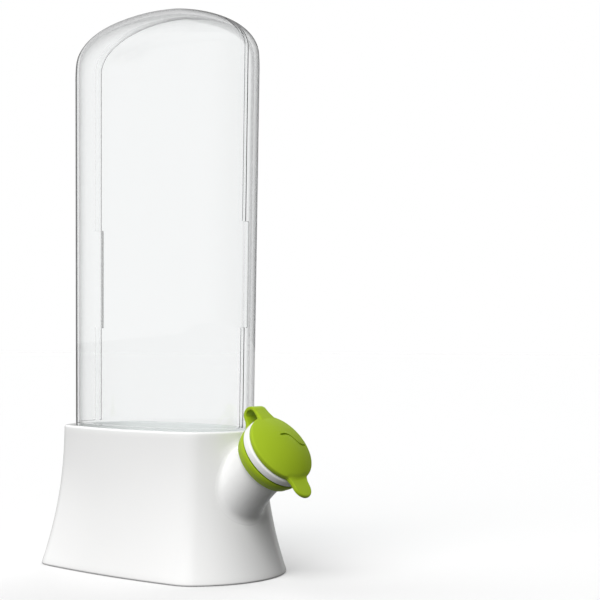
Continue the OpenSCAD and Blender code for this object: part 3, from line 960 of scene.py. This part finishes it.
# %% Wave sign
WAVE_MID, WAVE_LEN, WAVE_TURN, WAVE_HIGH, WAVE_COUNT = (-1.7, 6.2), 17, math.radians(68), 1.25, 1.15
WAVE_W, WAVE_DEEP, WAVE_ROUND, WAVE_STEPS = 0.95, 1.1, 0.45, 48


def wave_point(part):
    """A point of the sign on the dome: one even sine wave and a little more."""
    along = (part - 0.5) * WAVE_LEN
    swing = WAVE_HIGH * math.sin(math.tau * WAVE_COUNT * (part - 0.5))
    x = WAVE_MID[0] + along * math.cos(WAVE_TURN) + swing * math.sin(WAVE_TURN)
    y = WAVE_MID[1] + along * math.sin(WAVE_TURN) - swing * math.cos(WAVE_TURN)
    return Vector((x, y, dome_z(math.hypot(x, y))))


wave_path = [wave_point(i / WAVE_STEPS) for i in range(WAVE_STEPS + 1)]
wave_runs = [b - a for a, b in zip(wave_path[:1] + wave_path, wave_path[1:] + wave_path[-1:])]
wave_sides = [run.cross(Vector((0, 0, 1))).normalized() for run in wave_runs]
groove = sweep(wave_path, wave_sides, [section(WAVE_W, 2 * WAVE_DEEP, WAVE_ROUND * WAVE_W)] * len(wave_path))
cap_bm = carved(cap_bm, [groove])
bmesh.ops.transform(cap_bm, matrix=CAP_SEAT, verts=cap_bm.verts)
finish_piece("cap_dome", cap_bm, "cap", "cap_green", green_silicone, "spout_cap", sharp=35)

# %% [markdown]
# ### Hinge loop
#
# A flat band leaves the tether ring, runs round a loop and lies down on the cap's dome, where it widens.
# It is swept along its path with a rounded section. It bends when the cap opens, but here it rides on
# neither body.

# %% Strap
LOOP_X, LOOP_Z, LOOP_R = -20.9, -2.4, 3.5
LOOP_LEAVE, LOOP_LAND, LOOP_STEP = 25, 165, 7  # degrees
RING_LEG, RING_CORNER, CAP_CORNER, CAP_LEG = (-16.2, -7.4), (-19.3, -6.1), (-17.4, 1.75), (-14.6, 1.9)
STRAP_T, STRAP_W, STRAP_ROUND = 1.6, 8.2, 0.55
ON_CAP_X, ON_CAP_LEN, CAP_WIDER, CAP_THICKER, CAP_ROUNDER = -21, 6.4, 3.4, 1.2, 0.75
ON_RING_X, ON_RING_LEN, ON_RING_Z, RING_WIDER, RING_THICKER = -20, 3.8, -5, 2.2, 1.0


def loop_point(degrees):
    """A point of the loop, counted from its foot."""
    t = math.radians(degrees)
    return (LOOP_X - LOOP_R * math.sin(t), LOOP_Z - LOOP_R * math.cos(t))


ring_leg = bend(RING_LEG, RING_CORNER, loop_point(LOOP_LEAVE), 8)
loop = [Vector(loop_point(t)) for t in range(LOOP_LEAVE + LOOP_STEP, LOOP_LAND, LOOP_STEP)]
cap_leg = bend(loop_point(LOOP_LAND), CAP_CORNER, CAP_LEG, 16)
strap_line = ring_leg + loop + cap_leg
strap_path = [Vector((x, 0, z)) for x, z in strap_line]


def strap_shape(x, z):
    """The band widens and thickens where it lies on the cap and where it leaves the ring."""
    on_cap = min(max((x - ON_CAP_X) / ON_CAP_LEN, 0), 1) if z > 0 else 0
    on_ring = min(max((x - ON_RING_X) / ON_RING_LEN, 0), 1) if z < ON_RING_Z else 0
    width = STRAP_W + CAP_WIDER * on_cap ** 2 + RING_WIDER * on_ring ** 2
    thick = STRAP_T + CAP_THICKER * on_cap + RING_THICKER * on_ring
    return section(width, thick, STRAP_ROUND + CAP_ROUNDER * on_cap)


strap_sides = [Vector((0, 1, 0))] * len(strap_path)
strap_bm = sweep(strap_path, strap_sides, [strap_shape(x, z) for x, z in strap_line])
bmesh.ops.transform(strap_bm, matrix=CAP_SEAT, verts=strap_bm.verts)
strap = finish_piece("hinge_loop", strap_bm, None, "cap_green", green_silicone, "cap_strap", sharp=60)
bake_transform(strap)

# %% [markdown]
# ## Pod
#
# The pod is a deep clear shell with a real wall, a dome on top and an inward lip at its foot that the
# basket hangs on. Its rings run up the inside and the outside and close at two poles. A single surface
# with a thin-glass shader would be lighter, but it would show no wall thickness at the seam.

# %% Pod shell
DOME_END_RISE, DOME_SIDE_RISE, DOME_END_POWER, DOME_SIDE_POWER = 24, 32, 2, 2.15
DOME_END_Z, DOME_SIDE_Z = OVERALL_H - DOME_END_RISE, OVERALL_H - DOME_SIDE_RISE
SEAM_GAP, RING_RISE = 0.3, 1.2
LIP_W, TAB_W, TAB_H, TAB_RISE = 3, 5, 50, 49
BASKET_LIP_W, BASKET_LIP_T = 1.6, 1.6
POD_Z = SEAT_Z + SEAM_GAP
RING_Z = BASE_H + RING_RISE
DOOR_Z = RING_Z + SEAM_GAP
TAB_Z = BASE_H + TAB_RISE
DOME_STEPS, DOME_LAST, POD_STEPS = 26, 89, 12


def taper(z, low, off, power):
    """How wide the dome still is at a height: 1 where it starts and 0 at its pole."""
    rise = min(max((z - low) / (OVERALL_H - off - low), 0), 1)
    return max(1 - rise ** power, 0) ** (1 / power)


def spread(z):
    """How much wider than at the base's rim the pod is at a height."""
    return 1 + (POD_SPREAD - 1) * (z - BASE_H) / (OVERALL_H - BASE_H)


def dome_ring(z, off):
    """The pod's outline at a height: widened a little, and drawn in along the dome."""
    trim = min(off, POD_WALL)
    return pod_ring(z, off, spread(z) * taper(z, DOME_END_Z, trim, DOME_END_POWER),
                    spread(z) * taper(z, DOME_SIDE_Z, trim, DOME_SIDE_POWER))


def skin_levels(low, off):
    """Heights of a skin from its foot to just below its pole."""
    straight = [low, *stepped(low, DOME_SIDE_Z, POD_STEPS)[:-1]]
    dome_turns = [math.radians(DOME_LAST * i / DOME_STEPS) for i in range(DOME_STEPS + 1)]
    return straight + [DOME_SIDE_Z + (OVERALL_H - off - DOME_SIDE_Z) * math.sin(t) for t in dome_turns]


def pod_shell():
    """The whole clear shell with its real wall."""
    inner_low = POD_Z + BASKET_LIP_T
    rings = [dome_ring(z, POD_WALL) for z in reversed(skin_levels(inner_low, POD_WALL))]
    rings += [dome_ring(inner_low, POD_WALL + BASKET_LIP_W), dome_ring(POD_Z, POD_WALL + BASKET_LIP_W)]
    rings += [dome_ring(z, 0) for z in skin_levels(POD_Z, 0)]
    bm, first, last = loft(rings)
    close_ring(bm, first, (0, 0, OVERALL_H - POD_WALL))
    close_ring(bm, last, (0, 0, OVERALL_H))
    return bm


print("pod shell", 2 * len(skin_levels(POD_Z, 0)) + 2, "rings of", len(pod_ring(POD_Z, 0)), "points")

# %% [markdown]
# ### Seam
#
# The front half of the pod is a door. Behind its edge it has a half-thick lip that reaches under the
# back shell's edge, and a snap tab on each side. Both halves are cut from the same shell with
# matching prisms, which keeps the gap between them even all the way round. First the prisms' outlines.

# %% Outlines of the seam
MID_OFF, half_gap = POD_WALL / 2, SEAM_GAP / 2
TAB_TOP_Z = TAB_Z + TAB_H
SPARE = 1  # how far a cut runs on where nothing is left


def seam_x(z, off):
    """Half the pod's length at a height, drawn in by off."""
    return (POD_A - off) * spread(z) * taper(z, DOME_END_Z, off, DOME_END_POWER)


def mirrored(outline):
    """The same points on the other side, in reverse order."""
    return [(-x, z) for x, z in reversed(outline)]


def seam_arch(off, low):
    """The pod's side profile, drawn in by off, as the outline of what lies inside it."""
    heights = [low, TAB_Z, TAB_TOP_Z] + [z for z in skin_levels(low, off) if z > TAB_TOP_Z + SPARE]
    right = [(seam_x(z, off), z) for z in heights]
    return right + [(0, OVERALL_H - off)] + mirrored(right)


def both_ends(off, low, high):
    """Outlines of the wall outside that profile between two heights, at the +X end and at the -X end."""
    right = [(seam_x(high, off), high), (FAR, high), (FAR, low), (seam_x(low, off), low)]
    return [right, mirrored(right)]


print("snap tabs from", TAB_Z, "to", TAB_TOP_Z, "mm")

# %% [markdown]
# The back shell keeps the closed ring at the pod's foot and everything behind the seam. It loses the
# whole front, then the room for the door's lip and tabs.

# %% Back shell
tab_room = TAB_Z - SEAM_GAP, TAB_TOP_Z + SEAM_GAP
back_cuts = [box((-FAR, -FAR, RING_Z), (FAR, SEAM_GAP, 2 * FAR)),
             prism(seam_arch(MID_OFF - half_gap, RING_Z), -SPARE, LIP_W + SEAM_GAP)]
back_cuts += [prism(outline, -SPARE, TAB_W + SEAM_GAP) for outline in both_ends(MID_OFF + half_gap, *tab_room)]
finish_piece("pod_back", carved(pod_shell(), back_cuts), "pod", "pod_clear", clear, "pod_back_shell")

# %% [markdown]
# The door keeps everything in front of the seam, the lip behind it and the two tabs. It could be what the
# back shell's cuts remove, but then the two would touch, and touching clear solids show black seams. So
# it has cuts of its own: its foot and its back, all but the tabs behind the lip, and the half of the
# wall outside the lip, below the tabs and above them.

# %% Door
lip_low, lip_off, tab_off = DOOR_Z - SPARE, MID_OFF + half_gap, MID_OFF - half_gap
off_tabs = [(FAR, 0), (FAR, TAB_Z), (seam_x(TAB_Z, tab_off), TAB_Z), (seam_x(TAB_TOP_Z, tab_off), TAB_TOP_Z),
            (FAR, TAB_TOP_Z), (FAR, 2 * FAR)]
above_tabs = [point for point in seam_arch(lip_off, lip_low) if point[1] >= TAB_TOP_Z]
above_tabs += [(-FAR, TAB_TOP_Z), (-FAR, 2 * FAR), (FAR, 2 * FAR), (FAR, TAB_TOP_Z)]
door_cuts = [box((-FAR, -FAR, 0), (FAR, FAR, DOOR_Z)), box((-FAR, TAB_W, 0), (FAR, FAR, 2 * FAR)),
             prism(off_tabs + mirrored(off_tabs), LIP_W, TAB_W + SPARE)]
outside_lip = [*both_ends(lip_off, lip_low, TAB_Z), above_tabs]
door_cuts += [prism(outline, 0, LIP_W + SPARE / 2) for outline in outside_lip]
finish_piece("pod_front", carved(pod_shell(), door_cuts), "door", "pod_clear", clear, "pod_door")

# %% [markdown]
# ## Solids that stay
#
# The bottom plate is flat, and the basket is straight walls with round holes, so their CAD solids already
# have their real shape. Modelling them again would add nothing, and they only get their materials.

# %% Materials of the solids that stay
for node, material in (("base_floor", gloss_white), ("stem_basket", satin_white)):
    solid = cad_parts[node]
    for place in solid.material_slots:
        place.material = material
    print(node, material.name)
